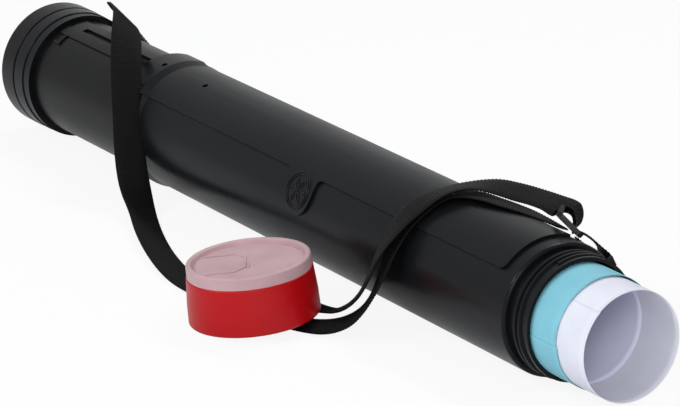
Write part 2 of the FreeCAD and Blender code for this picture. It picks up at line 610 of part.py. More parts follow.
def strap_buckle(doc):
    """A ladder lock: a frame with two slots, a middle bar and a lifted tab, leaning on its side."""
    body = new_body(doc, "StrapBuckle")
    half_long = "Dims.buckle_long / 2"
    half_wide = "Dims.buckle_wide / 2"
    frame = polygon(body, "FrameOutline", "XY_Plane", [
        (f"-({half_long})", f"-({half_wide}) + 3"),
        (f"-({half_long}) + 3", f"-({half_wide})"),
        (f"{half_long} - 3", f"-({half_wide})"),
        (half_long, f"-({half_wide}) + 3"),
        (half_long, f"{half_wide} - 3"),
        (f"{half_long} - 3", half_wide),
        (f"-({half_long}) + 3", half_wide),
        (f"-({half_long})", f"{half_wide} - 3"),
    ])
    plate = body.newObject("PartDesign::Pad", "FramePlate")
    plate.Profile = frame
    plate.Midplane = True
    bind(plate, Length="Dims.buckle_thick")
    for name, low, high in (
            ("SlotLow", f"-({half_long}) + Dims.buckle_bar", "-Dims.buckle_bar / 2"),
            ("SlotHigh", "Dims.buckle_bar / 2", f"{half_long} - Dims.buckle_bar")):
        side = "Dims.buckle_slot / 2"
        outline = polygon(body, f"{name}Outline", "XY_Plane", [
            (low, f"-({side})"), (high, f"-({side})"), (high, side), (low, side)])
        slot = body.newObject("PartDesign::Pocket", name)
        slot.Profile = outline
        slot.Midplane = True
        bind(slot, Length="4 * Dims.buckle_thick")
    tab = polygon(body, "TabOutline", "XZ_Plane", [
        (f"-({half_long}) - 1", "Dims.buckle_thick / 2 - 1"),
        (f"-({half_long}) + Dims.buckle_bar - 0.4", "Dims.buckle_thick / 2 - 1"),
        (f"-({half_long}) + 0.6", "Dims.buckle_tab"),
        (f"-({half_long}) - 1.6", "Dims.buckle_tab"),
    ])
    lift = body.newObject("PartDesign::Pad", "TiltTab")
    lift.Profile = tab
    lift.Midplane = True
    bind(lift, Length="Dims.buckle_slot - 5")
    along = V(0.562, 0.481, -0.672)
    face = V(0.192, 0.715, 0.672)
    side = face.cross(along)
    body.Label = "strap_buckle"
    body.Placement = FreeCAD.Placement(V(), FreeCAD.Rotation(along, side, face, "XZY"))
    return bind(body, Placement__Base__x="Dims.shoulder_x + Dims.buckle_x",
                Placement__Base__y="Dims.axis_y + Dims.buckle_y",
                Placement__Base__z="Dims.axis_z + Dims.buckle_z")


def anchor_loop(doc):
    """The short doubled webbing from the buckle round to the eye beside the mouth."""
    loop = sector(doc, "LoopBand", "Dims.loop_inner", "Dims.loop_outer", "-Dims.loop_back",
                  "Dims.loop_wide", "Dims.loop_mid", "Dims.loop_half")
    holder = doc.addObject("Part::Compound", "AnchorLoop")
    holder.Links = [loop]
    return place_on_tube(holder, "anchor_loop")


def check(doc, pieces):
    """Every feature must have worked, and every piece must be one sound solid."""
    failed = [item.Name for item in doc.Objects
              if "Invalid" in item.State or "Error" in item.State]
    if failed:
        raise RuntimeError(f"these features failed: {failed}")
    for piece in pieces:
        shape = piece.Shape
        if shape.isNull() or not shape.isValid():
            raise RuntimeError(f"{piece.Label} has no valid shape")
        if len(shape.Solids) != 1:
            raise RuntimeError(f"{piece.Label} is {len(shape.Solids)} solids")
        box_ = shape.BoundBox
        print(f"{piece.Label:12s} {shape.Volume / 1000:8.2f} cm3"
              f"  x {box_.XMin:7.1f} {box_.XMax:7.1f}  y {box_.YMin:7.1f} {box_.YMax:7.1f}"
              f"  z {box_.ZMin:7.2f} {box_.ZMax:7.1f}")


def main():
    doc = FreeCAD.newDocument("DrawingTube")
    dimension_sheet(doc)
    heading = math.radians(float(doc.Dims.get("cap_heading")))
    pieces = [
        outer_tube(doc),
        inner_tube(doc),
        base_cap(doc),
        screw_cap(doc, heading),
        cap_disc(doc, heading),
        paper_roll(doc, "teal_roll", "Dims.teal_out", "Dims.teal_radius", "Dims.teal_wall",
                   "Dims.teal_drop", "Dims.teal_lap"),
        paper_roll(doc, "white_roll", "Dims.white_out", "Dims.white_radius", "Dims.white_wall",
                   "Dims.white_drop", "Dims.white_lap"),
        strap_buckle(doc),
        anchor_loop(doc),
        cord(doc, "strap_main", MAIN_ROUTE),
        cord(doc, "strap_tail", TAIL_ROUTE),
    ]
    doc.recompute()
    check(doc, pieces)
    os.makedirs("parts", exist_ok=True)
    for piece in pieces:
        piece.Shape.exportStep(os.path.join("parts", f"{piece.Label}.step"))


main()
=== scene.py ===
# %% [markdown]
# # Telescopic drawing tube
# The model that is loaded here is the tube's exact shape, in metres: an outer and an inner tube, a base cap,
# a screw cap with its disc, a buckle, and plain stand-ins for the strap and the rolled sheets. The cells
# below keep the hard pieces, give each one its finish, and make what is still missing: the webbing, the
# paper and a low relief on the outer tube.

# %% Load the frame
import math

import bmesh
import bpy
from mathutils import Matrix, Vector, noise


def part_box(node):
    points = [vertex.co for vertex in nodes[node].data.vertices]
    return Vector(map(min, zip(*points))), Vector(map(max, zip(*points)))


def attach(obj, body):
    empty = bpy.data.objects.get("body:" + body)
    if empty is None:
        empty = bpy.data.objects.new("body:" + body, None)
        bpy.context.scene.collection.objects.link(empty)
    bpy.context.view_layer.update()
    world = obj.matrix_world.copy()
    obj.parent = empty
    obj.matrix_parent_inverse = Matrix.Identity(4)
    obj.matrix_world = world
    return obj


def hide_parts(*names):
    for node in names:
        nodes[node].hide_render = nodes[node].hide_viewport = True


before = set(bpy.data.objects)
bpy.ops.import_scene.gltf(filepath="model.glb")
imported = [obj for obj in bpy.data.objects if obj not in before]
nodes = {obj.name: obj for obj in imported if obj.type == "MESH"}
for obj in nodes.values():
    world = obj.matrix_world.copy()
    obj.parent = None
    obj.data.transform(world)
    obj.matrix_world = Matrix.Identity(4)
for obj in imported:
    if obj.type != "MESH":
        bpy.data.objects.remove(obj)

scene = bpy.context.scene
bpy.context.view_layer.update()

# %% [markdown]
# Every place on the tube is easiest to say in the tube's own terms: how far along from the shoulder, the
# angle round from the top line towards the front, and the radius. The base cap is round and centred on the
# axis, so its box gives the axis, and its closed end is 749 mm behind the shoulder.

# %% Where the tube lies
base_low, base_high = (Vector(corner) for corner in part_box("base_cap"))
AXIS = (base_low + base_high) / 2
MM = 0.001
CLOSED_END = 749
SHOULDER = Vector((base_low.x + CLOSED_END * MM, AXIS.y, AXIS.z))


def place(x, y, z):
    """A point given in millimetres from the shoulder's centre."""
    return SHOULDER + Vector((x, y, z)) * MM


def on_tube(x, angle, radius):
    """A point from its distance along, its angle from the top line and its radius."""
    turn = math.radians(angle)
    return place(x, -radius * math.sin(turn), radius * math.cos(turn))


print("shoulder centre", tuple(round(c, 4) for c in SHOULDER))

# %% [markdown]
# The camera stands out beyond the open mouth and to the front, above the tube, nearly three metres away with
# a long lens, so that the tube narrows only gently towards its far end. The route of a strap is judged from
# this view first, so the camera comes before anything else.

# %% Camera
AZIMUTH = math.radians(57.8)
ELEVATION = math.radians(18.03)
FILM_WIDTH = 36
LENS = 211.17
STANDPOINT = place(2162.2, -1546.2, 943.5)
FARTHEST_SEEN = 20
camera_data = bpy.data.cameras.new("studio_camera")
camera_data.sensor_width = FILM_WIDTH
camera_data.lens = LENS
camera_data.clip_end = FARTHEST_SEEN
camera = bpy.data.objects.new("studio_camera", camera_data)
scene.collection.objects.link(camera)
camera.location = STANDPOINT
camera.rotation_euler = (math.pi / 2 - ELEVATION, 0, AZIMUTH)
scene.camera = camera
print("camera at", tuple(round(c, 3) for c in camera.location))

# %% [markdown]
# ## Materials
# Each finish is a small node tree. One helper makes the plain material with its shader, and a few more make
# the links that the finishes share: noise for colour and roughness, and a bump in the normal socket.

# %% Material helpers


def new_finish(name, color, roughness, **sockets):
    """A material, its node tree and its one Principled shader, with any other sockets given by name."""
    finish = bpy.data.materials.new(name)
    finish.use_nodes = True
    tree = finish.node_tree
    shader = tree.nodes["Principled BSDF"]
    shader.inputs["Base Color"].default_value = (*color, 1)
    shader.inputs["Roughness"].default_value = roughness
    for socket, value in sockets.items():
        shader.inputs[socket.replace("_", " ")].default_value = value
    finish.diffuse_color = (*color, 1)
    return finish, tree, shader


def noise_on_object(tree, scale, detail=3.0, stretch=(1, 1, 1)):
    """Noise on Object coordinates, stretched by a Mapping node."""
    coords = tree.nodes.new("ShaderNodeTexCoord")
    mapping = tree.nodes.new("ShaderNodeMapping")
    mapping.inputs["Scale"].default_value = stretch
    texture = tree.nodes.new("ShaderNodeTexNoise")
    texture.inputs["Scale"].default_value = scale
    texture.inputs["Detail"].default_value = detail
    tree.links.new(coords.outputs["Object"], mapping.inputs["Vector"])
    tree.links.new(mapping.outputs["Vector"], texture.inputs["Vector"])
    return texture.outputs["Fac"]


def spread(tree, source, low, high, start=0.3, end=0.7):
    """Map a grey value onto a range of numbers."""
    ranger = tree.nodes.new("ShaderNodeMapRange")
    for socket, value in zip(("From Min", "From Max", "To Min", "To Max"), (start, end, low, high)):
        ranger.inputs[socket].default_value = value
    tree.links.new(source, ranger.inputs["Value"])
    return ranger.outputs["Result"]


def tint(tree, source, dark, light, start=0.3, end=0.7):
    """Map a grey value onto a run between two colours."""
    ramp = tree.nodes.new("ShaderNodeValToRGB")
    ramp.color_ramp.elements[0].position = start
    ramp.color_ramp.elements[1].position = end
    ramp.color_ramp.elements[0].color = (*dark, 1)
    ramp.color_ramp.elements[1].color = (*light, 1)
    tree.links.new(source, ramp.inputs["Fac"])
    return ramp.outputs["Color"]


def bump(tree, shader, source, distance, strength=1.0, under=None):
    """Bump from a grey height, with its full depth in metres, over an earlier bump if there is one."""
    relief = tree.nodes.new("ShaderNodeBump")
    relief.inputs["Distance"].default_value = distance
    relief.inputs["Strength"].default_value = strength
    tree.links.new(source, relief.inputs["Height"])
    if under is not None:
        tree.links.new(under, relief.inputs["Normal"])
    tree.links.new(relief.outputs["Normal"], shader.inputs["Normal"])
    return relief.outputs["Normal"]


# %% [markdown]
# The tubes are moulded plastic: black, half shiny, with a very fine grain from the mould and a faint
# unevenness along the length that makes long reflections waver. Roughness from one stretched noise and two
# scales of bump give that. The colour varies only a little, as handling leaves it on real plastic.

# %% Black plastic


def moulded_plastic(name, dark, light, smooth, rough, grain=0.00002, waver=0.00006, shine=0.3):
    """Plastic between two colours and two roughnesses, with its mould's grain and unevenness in metres."""
    finish, tree, shader = new_finish(name, light, smooth, IOR=1.3, Specular_IOR_Level=shine)
    handling = noise_on_object(tree, scale=9, detail=4, stretch=(0.35, 1, 1))
    tree.links.new(tint(tree, handling, dark, light), shader.inputs["Base Color"])
    rubbed = noise_on_object(tree, scale=60, detail=5, stretch=(0.3, 1, 1))
    tree.links.new(spread(tree, rubbed, smooth, rough), shader.inputs["Roughness"])
    uneven = bump(tree, shader, noise_on_object(tree, scale=14, detail=2, stretch=(0.25, 1, 1)), waver)
    bump(tree, shader, noise_on_object(tree, scale=2600, detail=2), grain, under=uneven)
    return finish


tube_black = moulded_plastic("tube_black", dark=(0.0045, 0.0048, 0.0056), light=(0.007, 0.0075, 0.009),
                             smooth=0.25, rough=0.33)
inner_black = moulded_plastic("inner_black", dark=(0.0045, 0.0046, 0.005), light=(0.007, 0.0071, 0.0075),
                              smooth=0.27, rough=0.35)
print("plastic finishes", tube_black.name, inner_black.name)

# %% [markdown]
# The screw cap is the same kind of plastic in red. A little subsurface light would soften it, but a plain
# base colour with a clear highlight reads the same at this size and exports whole.

# %% Red plastic
cap_red = moulded_plastic("cap_red", dark=(0.38, 0.002, 0.004), light=(0.45, 0.003, 0.006),
                          smooth=0.34, rough=0.44, waver=0.00004, shine=0.5)
print("red finish", cap_red.name)

# %% [markdown]
# The disc is frosted plastic, milky rather than clear, and the red of the cap around it shows through as
# pink. The base colour is a pale pink for that, a painted glow of the red light that comes through, and
# some transmission lets a part of the real red through, blurred by the roughness.

# %% Frosted plastic
disc_clear, tree, shader = new_finish("disc_clear", color=(0.80, 0.56, 0.58), roughness=0.42, IOR=1.45,
                                      Specular_IOR_Level=0.3, Transmission_Weight=0.3)
bump(tree, shader, noise_on_object(tree, scale=1400, detail=2), distance=0.00004)
cloud = noise_on_object(tree, scale=30, detail=3)
# The milky colour is tinted pink with painted red light from the cap shining through the disc.
milk_and_painted_red = tint(tree, cloud, dark=(0.62, 0.40, 0.42), light=(0.74, 0.52, 0.54))
tree.links.new(milk_and_painted_red, shader.inputs["Base Color"])
print("disc finish", disc_clear.name, "with", len(tree.nodes), "nodes")

# %% [markdown]
# Paper is nearly matt. Its fibres are too small to see, so a fine bump and a slight cloudiness in the colour
# are enough, with a little less roughness on the teal sheet than on the white ones.

# %% Paper


def paper(name, dark, light, roughness):
    """Paper between two colours, with a slow waviness under its fibres."""
    finish, tree, shader = new_finish(name, light, roughness, IOR=1.45)
    cloud = noise_on_object(tree, scale=40, detail=5)
    tree.links.new(tint(tree, cloud, dark, light), shader.inputs["Base Color"])
    wavy = bump(tree, shader, noise_on_object(tree, scale=16, detail=2, stretch=(0.4, 1, 1)), 0.0005)
    bump(tree, shader, noise_on_object(tree, scale=1800, detail=3), 0.00002, strength=0.6, under=wavy)
    return finish


paper_teal = paper("paper_teal", dark=(0.195, 0.50, 0.60), light=(0.22, 0.55, 0.65), roughness=0.62)
paper_white = paper("paper_white", dark=(0.72, 0.72, 0.80), light=(0.78, 0.78, 0.85), roughness=0.75)
# The inner sheet is the same white paper, made bluer and lavender as painted shade inside the roll.
paper_inner_shaded = paper("paper_inner_shaded", dark=(0.68, 0.69, 0.84), light=(0.74, 0.75, 0.89), roughness=0.75)
print("papers", paper_teal.name, paper_white.name, paper_inner_shaded.name)

# %% [markdown]
# The strap is black woven webbing with ribs across it. The ribs themselves are in the mesh. The threads
# between them are a pattern on the strap's own UV map, which runs along the strap in metres, so the weave
# follows every twist. Two Wave textures cross each other: one makes about 2600 threads a metre along the
# strap and the other about 900 a metre across it. A Wave texture has a little over three waves in each unit
# of its scale, so the scales are smaller numbers than those.

# %% Webbing
WAVE_SCALES = {"X": 827.63, "Y": 286.4873}
webbing, tree, shader = new_finish("webbing", color=(0.004, 0.004, 0.004), roughness=0.55, IOR=1.3,
                                   Specular_IOR_Level=0.2, Sheen_Weight=0.02, Sheen_Roughness=0.4)
uv = tree.nodes.new("ShaderNodeUVMap")
uv.uv_map = "along_strap"
threads = []
for direction, scale in WAVE_SCALES.items():
    wave = tree.nodes.new("ShaderNodeTexWave")
    wave.bands_direction = direction
    wave.inputs["Scale"].default_value = scale
    wave.inputs["Distortion"].default_value = 0.4
    wave.inputs["Detail"].default_value = 1
    tree.links.new(uv.outputs["UV"], wave.inputs["Vector"])
    threads.append(wave.outputs["Fac"])
weave = tree.nodes.new("ShaderNodeMath")
weave.operation = "MULTIPLY"
tree.links.new(threads[0], weave.inputs[0])
tree.links.new(threads[1], weave.inputs[1])
woven = weave.outputs["Value"]
bump(tree, shader, woven, distance=0.00012)
black = tint(tree, woven, dark=(0.002, 0.002, 0.002), light=(0.006, 0.006, 0.006), start=0.1, end=0.9)
tree.links.new(black, shader.inputs["Base Color"])
print("webbing finish", webbing.name, "with", len(tree.nodes), "nodes")

# %% [markdown]
# The buckle is moulded from the same sort of plastic as the tube, but a little duller, with a coarser grain.
# It needs no helper of its own, only other numbers. Then each hard piece of the model gets its finish in all
# of its material slots.

# %% Buckle plastic
buckle_black = moulded_plastic("buckle_black", dark=(0.008, 0.008, 0.009), light=(0.014, 0.014, 0.015),
                               smooth=0.34, rough=0.45, grain=0.00005)
print("buckle finish", buckle_black.name)

# %% Give the hard pieces their finishes
for node, finish in (("outer_tube", tube_black), ("inner_tube", inner_black), ("base_cap", tube_black),
                     ("screw_cap", cap_red), ("cap_disc", disc_clear), ("strap_buckle", buckle_black)):
    for index in range(len(nodes[node].material_slots)):
        nodes[node].material_slots[index].material = finish
    print(node, "wears", finish.name, "faces", len(nodes[node].data.polygons))

# %% [markdown]
# ## The strap
# The strap is one length of webbing. From the far eye it runs back behind the inner tube, folds over its top,
# hangs down in front, lies on the floor, passes under the cap and comes back over the outer tube to the
# buckle. What is left over doubles back from the buckle as a tail. Each run is a ribbon: one smooth spline
# for the middle of the webbing and a second, beside it, that says which way its width points.

# %% Rails from splines


def spline_points(name, points):
    """Points along a smooth NURBS line that follows a loose route."""
    curve = bpy.data.curves.new(name, "CURVE")
    curve.dimensions = "3D"
    curve.resolution_u = 24
    line = curve.splines.new("NURBS")
    line.points.add(len(points) - 1)
    for knot, point in zip(line.points, points):
        knot.co = (*point, 1)
    line.order_u = 3
    line.use_endpoint_u = True
    holder = bpy.data.objects.new(name, curve)
    scene.collection.objects.link(holder)
    mesh = bpy.data.meshes.new_from_object(holder)
    found = [vertex.co.copy() for vertex in mesh.vertices]
    bpy.data.objects.remove(holder)
    bpy.data.curves.remove(curve)
    bpy.data.meshes.remove(mesh)
    return found


def even_rails(middle, beside, step):
    """Both rails at evenly spaced stations of the middle one, and the middle's length."""
    reach = [0.0]
    for a, b in zip(middle, middle[1:]):
        reach.append(reach[-1] + (b - a).length)
    count = max(2, round(reach[-1] / step))
    stations = []
    here = 0
    for index in range(count + 1):
        target = reach[-1] * index / count
        while here < len(reach) - 2 and reach[here + 1] < target:
            here += 1
        span = reach[here + 1] - reach[here]
        share = (target - reach[here]) / span if span else 0
        stations.append((middle[here].lerp(middle[here + 1], share),
                         beside[here].lerp(beside[here + 1], share)))
    return stations, reach[-1]


# %% [markdown]
# Every new piece is shaped in a bmesh, which is Blender's editable kind of mesh. When the shape is done, the
# piece becomes an object at the origin, unturned, with its place in its mesh, one finish and smooth shading.
# The same few lines do that for the webbing, the relief, the sheets and the floor.

# %% From a bmesh to a piece


def finished_piece(name, bm, finish):
    """An object of a finished bmesh, wearing one material."""
    mesh = bpy.data.meshes.new(name)
    bm.to_mesh(mesh)
    bm.free()
    mesh.shade_smooth()
    mesh.materials.append(finish)
    piece = bpy.data.objects.new(name, mesh)
    scene.collection.objects.link(piece)
    print(name, len(mesh.polygons), "faces")
    return piece


# %% [markdown]
# A ribbon needs three directions at every station: along it, across its width, and through its thickness.
# The first comes from the stations before and after. The second points to the other rail, with any lean
# along the ribbon taken out, and the third is square to both.

# %% Directions at each station


def ribbon_frames(stations):
    """Each station with the directions of the ribbon's width and of its thickness."""
    frames = []
    for index, (point, edge) in enumerate(stations):
        before = stations[max(index - 1, 0)][0]
        after = stations[min(index + 1, len(stations) - 1)][0]
        tangent = (after - before).normalized()
        across = edge - point
        across = (across - tangent * across.dot(tangent)).normalized()
        frames.append((point, across, across.cross(tangent)))
    return frames


# %% [markdown]
# The webbing's section is a flat loop of points, slightly thicker in the middle than at its woven edges.
# A grid is made with one row for each point of the loop and one column for each station, bent into place
# column by column, closed along its seam, and capped at both ends. The ribs are a small wave in the
# thickness.

# %% Webbing from two rails
RIB_PITCH = 0.0023
RIB_DEPTH = 0.00028
STATION_STEP = 0.00058
STATIONS_A_PATH_POINT = 8
WELD = 0.00001
SECTION = [(-1, 0), (-0.94, 0.75), (-0.5, 1), (0, 1.02), (0.5, 1), (0.94, 0.75),
           (1, 0), (0.94, -0.75), (0.5, -1), (0, -1.02), (-0.5, -1), (-0.94, -0.75), (-1, 0)]


def webbing_piece(name, stops, width=0.025, thickness=0.0016):
    """A ribbed strap along its stops, each a place and the direction of the width there."""
    middle = spline_points(name, [spot for spot, across in stops])
    beside = spline_points(name, [spot + across.normalized() * width / 2 for spot, across in stops])
    stations, length = even_rails(middle, beside, STATION_STEP)
    frames = ribbon_frames(stations)
    columns = len(stations) - 1
    rows = len(SECTION) - 1
    bm = bmesh.new()
    layer = bm.loops.layers.uv.new("along_strap")
    bmesh.ops.create_grid(bm, x_segments=columns, y_segments=rows, size=1)
    where = {}
    for vertex in bm.verts:
        column = round((vertex.co.x + 1) / 2 * columns)
        row = round((vertex.co.y + 1) / 2 * rows)
        where[vertex] = (column, row)
    for face in bm.faces:
        for corner in face.loops:
            column, row = where[corner.vert]
            corner[layer].uv = (column / columns * length, SECTION[row][0] * width / 2)
    for vertex, (column, row) in where.items():
        point, across, normal = frames[column]
        side, height = SECTION[row]
        swell = thickness / 2 + RIB_DEPTH * math.sin(column / columns * length / RIB_PITCH * math.tau)
        vertex.co = point + across * side * width / 2 + normal * height * swell
    bmesh.ops.remove_doubles(bm, verts=bm.verts, dist=WELD)
    bmesh.ops.holes_fill(bm, edges=bm.edges, sides=0)
    bmesh.ops.recalc_face_normals(bm, faces=bm.faces)
    path = [point for point, edge in stations][::STATIONS_A_PATH_POINT] + [stations[-1][0]]
    print(name, f"{length:.3f} m long")
    return finished_piece(name, bm, webbing), path, length


# %% [markdown]
# Each stop of the main run is a place and the way the webbing's width points there. The width stands upright
# behind the inner tube and twists over in a soft diagonal fold. Then the webbing hangs down with its width
# across the camera's view. On the floor it leans a little before it goes flat under the cap, and it lies flat
# again where it goes over the outer tube. The run is told in eight legs, from the far eye to the buckle.

# %% Stops of the main run
ACROSS_VIEW = Vector((0.533, 0.846, 0))


def way(x, y, z):
    """A direction; its length doesn't matter."""
    return Vector((x, y, z))


behind_inner = [
    (place(-549, 59.3, 10.5), way(0, -0.1, -1)), (place(-566, 61, 5), way(0, 0, -1)),
    (place(-588, 62, 0), way(0.1, 0, -0.97)), (place(-612, 62.5, -4), way(0.2, -0.1, -0.95)),
    (place(-636, 63, -4), way(0.4, -0.2, -0.85)),
]
twist = [
    (place(-662, 61.5, 1.5), way(0.7, -0.3, -0.6)), (place(-684, 57.5, 17), way(0.88, -0.25, -0.25)),
    (place(-691, 44, 38.5), way(0.9, -0.3, -0.05)), (place(-684, 29.5, 51), way(0.88, -0.2, -0.15)),
]
fold = [
    (place(-667, 14.5, 60), way(0.8, 0.15, -0.5)), (place(-648, 4, 67), way(0.68, 0.36, -0.64)),
    (place(-626, -4, 73), way(0.58, 0.47, -0.67)), (place(-603, -13, 75), way(0.56, 0.52, -0.62)),
    (place(-583, -23, 72), way(0.55, 0.68, -0.4)),
]
hanging = [
    (place(-566, -33, 64.5), way(0.54, 0.8, -0.15)), (place(-551, -42, 53.5), ACROSS_VIEW),
    (place(-539, -48.5, 39), ACROSS_VIEW), (place(-529, -53, 22), ACROSS_VIEW),
    (place(-521, -57, 4), ACROSS_VIEW), (place(-515, -59.5, -12), ACROSS_VIEW),
    (place(-508, -61.5, -26), way(0.52, 0.85, -0.05)),
]
on_floor = [
    (place(-497.5, -64, -37.5), way(0.45, 0.87, -0.15)), (place(-482, -69, -45), way(0.35, 0.88, -0.28)),
    (place(-461.5, -77, -48), way(0.25, 0.88, -0.32)), (place(-437, -87.5, -48.6), way(0.2, 0.9, -0.27)),
    (place(-410, -98, -48.8), way(0.18, 0.92, -0.23)),
    (place(-381.5, -107.5, -49.2), way(0.15, 0.95, -0.18)),
    (place(-352.5, -115, -50), way(0.1, 0.98, -0.1)), (place(-324, -119.5, -51), way(0.03, 1, -0.02)),
    (place(-296, -118.5, -51.5), way(-0.1, 1, 0)), (place(-269, -112, -51.7), way(-0.2, 0.98, 0)),
    (place(-242, -106, -51.7), way(-0.2, 0.98, 0)), (place(-216, -101.5, -51.7), way(-0.3, 0.95, 0)),
    (place(-191, -95, -51.2), way(-0.45, 0.9, 0.05)),
]
rising = [
    (place(-170, -84.5, -48.2), way(-0.55, 0.8, 0.2)), (place(-156, -75, -40), way(-0.65, 0.7, 0.2)),
    (place(-147.5, -69, -28), way(-0.7, 0.68, 0.15)), (place(-143, -63.5, -14), way(-0.78, 0.6, 0.18)),
    (place(-141, -59, 0), way(-0.88, 0.44, 0.18)),
]
over_tube = [
    (on_tube(-140, 75, 56.5), way(-0.94, 0.28, 0.15)), (on_tube(-139, 62, 55.4), way(-0.96, 0.2, 0.12)),
    (on_tube(-137.5, 49, 54.8), way(-0.96, 0.2, 0.1)), (on_tube(-135, 36, 54.6), way(-0.97, 0.2, 0.08)),
    (on_tube(-132, 23, 54.6), way(-0.95, 0.3, 0)), (on_tube(-126, 9, 54.8), way(-0.75, 0.66, -0.05)),
]
to_buckle = [
    (on_tube(-115, -2, 54.5), way(-0.35, 0.93, -0.08)), (on_tube(-101.5, -8.5, 54), way(-0.1, 0.98, -0.2)),
    (on_tube(-87, -13, 53.9), way(-0.2, 0.93, -0.2)), (on_tube(-73, -21, 53.9), way(-0.4, 0.86, -0.24)),
    (on_tube(-60, -30, 53.6), way(-0.6, 0.72, -0.26)),
    (on_tube(-46.5, -37.5, 53.6), way(-0.72, 0.58, -0.28)),
]

# %% Main run
main_stops = behind_inner + twist + fold + hanging + on_floor + rising + over_tube + to_buckle
strap_main, main_path, main_length = webbing_piece("strap_main_webbing", main_stops)

# %% [markdown]
# The tail leaves the buckle upwards and turns over into a low, springy arch behind the top of the tube. Then
# it lies over the main run down the front, and ends under the cap.

# %% Tail
tail_start = [
    (place(-39.5, 38.2, 44.0), way(-0.8, 0.506, -0.31)), (place(-43, 41.2, 49), way(-0.8, 0.506, -0.22)),
    (place(-50.5, 42.3, 51.8), way(-0.85, 0.5, 0.05)),
]
tail_arch = [
    (place(-60.5, 43, 52.2), way(-0.85, 0.45, 0.22)), (place(-72, 41.5, 53.2), way(-0.88, 0.45, 0.18)),
    (place(-85, 37, 54.4), way(-0.88, 0.45, 0.2)), (place(-98, 29.6, 56.0), way(-0.85, 0.47, 0.26)),
    (place(-109, 21.5, 58.2), way(-0.8, 0.506, 0.2)), (place(-117, 12.5, 59.0), way(-0.8, 0.506, 0.02)),
    (place(-123, 3, 58.6), way(-0.82, 0.52, -0.1)),
]
tail_over_tube = [
    (on_tube(-127, 9, 58.1), way(-0.85, 0.5, -0.12)), (on_tube(-130.5, 21, 57.9), way(-0.93, 0.33, -0.05)),
    (on_tube(-134, 33, 57.8), way(-0.96, 0.2, 0.06)), (on_tube(-137, 46, 58.1), way(-0.95, 0.28, 0.1)),
    (on_tube(-139.5, 59, 58.6), way(-0.9, 0.42, 0.1)), (on_tube(-143, 71, 59.8), way(-0.85, 0.52, 0.08)),
    (on_tube(-147, 83, 62), way(-0.83, 0.52, -0.02)),
]
tail_end = [
    (place(-153, -64, -9), way(-0.8, 0.5, -0.2)), (place(-163, -65, -24), way(-0.8, 0.5, -0.31)),
    (place(-176, -66, -36), way(-0.8, 0.5, -0.31)), (place(-192, -67.5, -45), way(-0.75, 0.55, -0.31)),
    (place(-210, -70.5, -49.5), way(-0.5, 0.8, -0.15)), (place(-228, -73, -51), way(-0.2, 0.95, 0)),
]
tail_stops = tail_start + tail_arch + tail_over_tube + tail_end
strap_tail, tail_path, tail_length = webbing_piece("strap_tail_webbing", tail_stops)

# %% [markdown]
# The anchor loop is a short piece of the same webbing, sewn double round the buckle's last bar and round the
# near eye, close behind the shoulder. The two layers are drawn as one ribbon that goes out over the top,
# turns round the eye's bar and comes back underneath.

# %% Anchor loop
loop_stops = [
    (place(-36.5, 34.5, 43.3), way(-0.8, 0.507, -0.31)),
    (place(-33.6, 38.8, 42.6), way(-0.8, 0.507, -0.31)),
    (place(-29.4, 44.4, 38.6), way(-0.85, 0.45, -0.2)), (place(-25.6, 49.2, 33.2), way(-0.92, 0.35, -0.1)),
    (place(-23, 52.4, 28.2), way(-0.97, 0.2, -0.05)), (place(-22, 53.0, 23.4), way(-1, 0, 0)),
    (place(-22, 50.2, 21.0), way(-1, 0, 0)), (place(-22.6, 46.6, 22.6), way(-0.98, 0.1, 0)),
    (place(-25.0, 44.4, 27.6), way(-0.92, 0.3, -0.15)),
    (place(-29.2, 40.6, 32.8), way(-0.85, 0.42, -0.25)),
    (place(-34.4, 35.6, 38.4), way(-0.8, 0.507, -0.31)),
]
anchor_loop = webbing_piece("anchor_loop_webbing", loop_stops, width=0.024, thickness=0.0012)[0]

# %% [markdown]
# ## The medallion
# The round tongue below the saddle carries a low moulded relief: two rings and, inside them, a rosette of six
# arcs that all pass through the middle. Each line is a narrow grid with five rows, bent round a low raised
# section until its last row meets its first, and wrapped onto the tongue.

# %% Relief lines
MEDAL_X = -278
MEDAL_ANGLE = 65.5
MEDAL_RADIUS = 52.2
RING_RADII = (14.6, 12.4)
RING_WIDTH = 1.2
RING_HEIGHT = 0.6
PETAL_RADIUS = 10.4
PETAL_WIDTH = 1.1
PETAL_HEIGHT = 0.55
LINE_SECTION = ((-0.5, -0.1), (-0.3, 1.0), (0.3, 1.0), (0.5, -0.1), (-0.5, -0.1))


def relief_line(bm, course, width, height):
    """Add one raised line to the relief, along a course of flat points in millimetres."""
    columns = len(course) - 1
    rows = len(LINE_SECTION) - 1
    made = bmesh.ops.create_grid(bm, x_segments=columns, y_segments=rows, size=1)["verts"]
    for vertex in made:
        column = round((vertex.co.x + 1) / 2 * columns)
        side, rise = LINE_SECTION[round((vertex.co.y + 1) / 2 * rows)]
        ahead = Vector(course[min(column + 1, columns)]) - Vector(course[max(column - 1, 0)])
        if course[0] == course[-1] and column in (0, columns):
            ahead = Vector(course[1]) - Vector(course[-2])
        across = Vector((-ahead.y, ahead.x)).normalized() * side * width
        spot = Vector(course[column]) + across
        angle = MEDAL_ANGLE + math.degrees(spot.y / MEDAL_RADIUS)
        vertex.co = on_tube(MEDAL_X + spot.x, angle, MEDAL_RADIUS + rise * height)
    bmesh.ops.remove_doubles(bm, verts=made, dist=WELD)


def arc_course(centre, radius, start, sweep, count):
    """Flat points along an arc, with its start and sweep in degrees."""
    return [(centre[0] + radius * math.cos(math.radians(start + sweep * index / count)),
             centre[1] + radius * math.sin(math.radians(start + sweep * index / count)))
            for index in range(count + 1)]


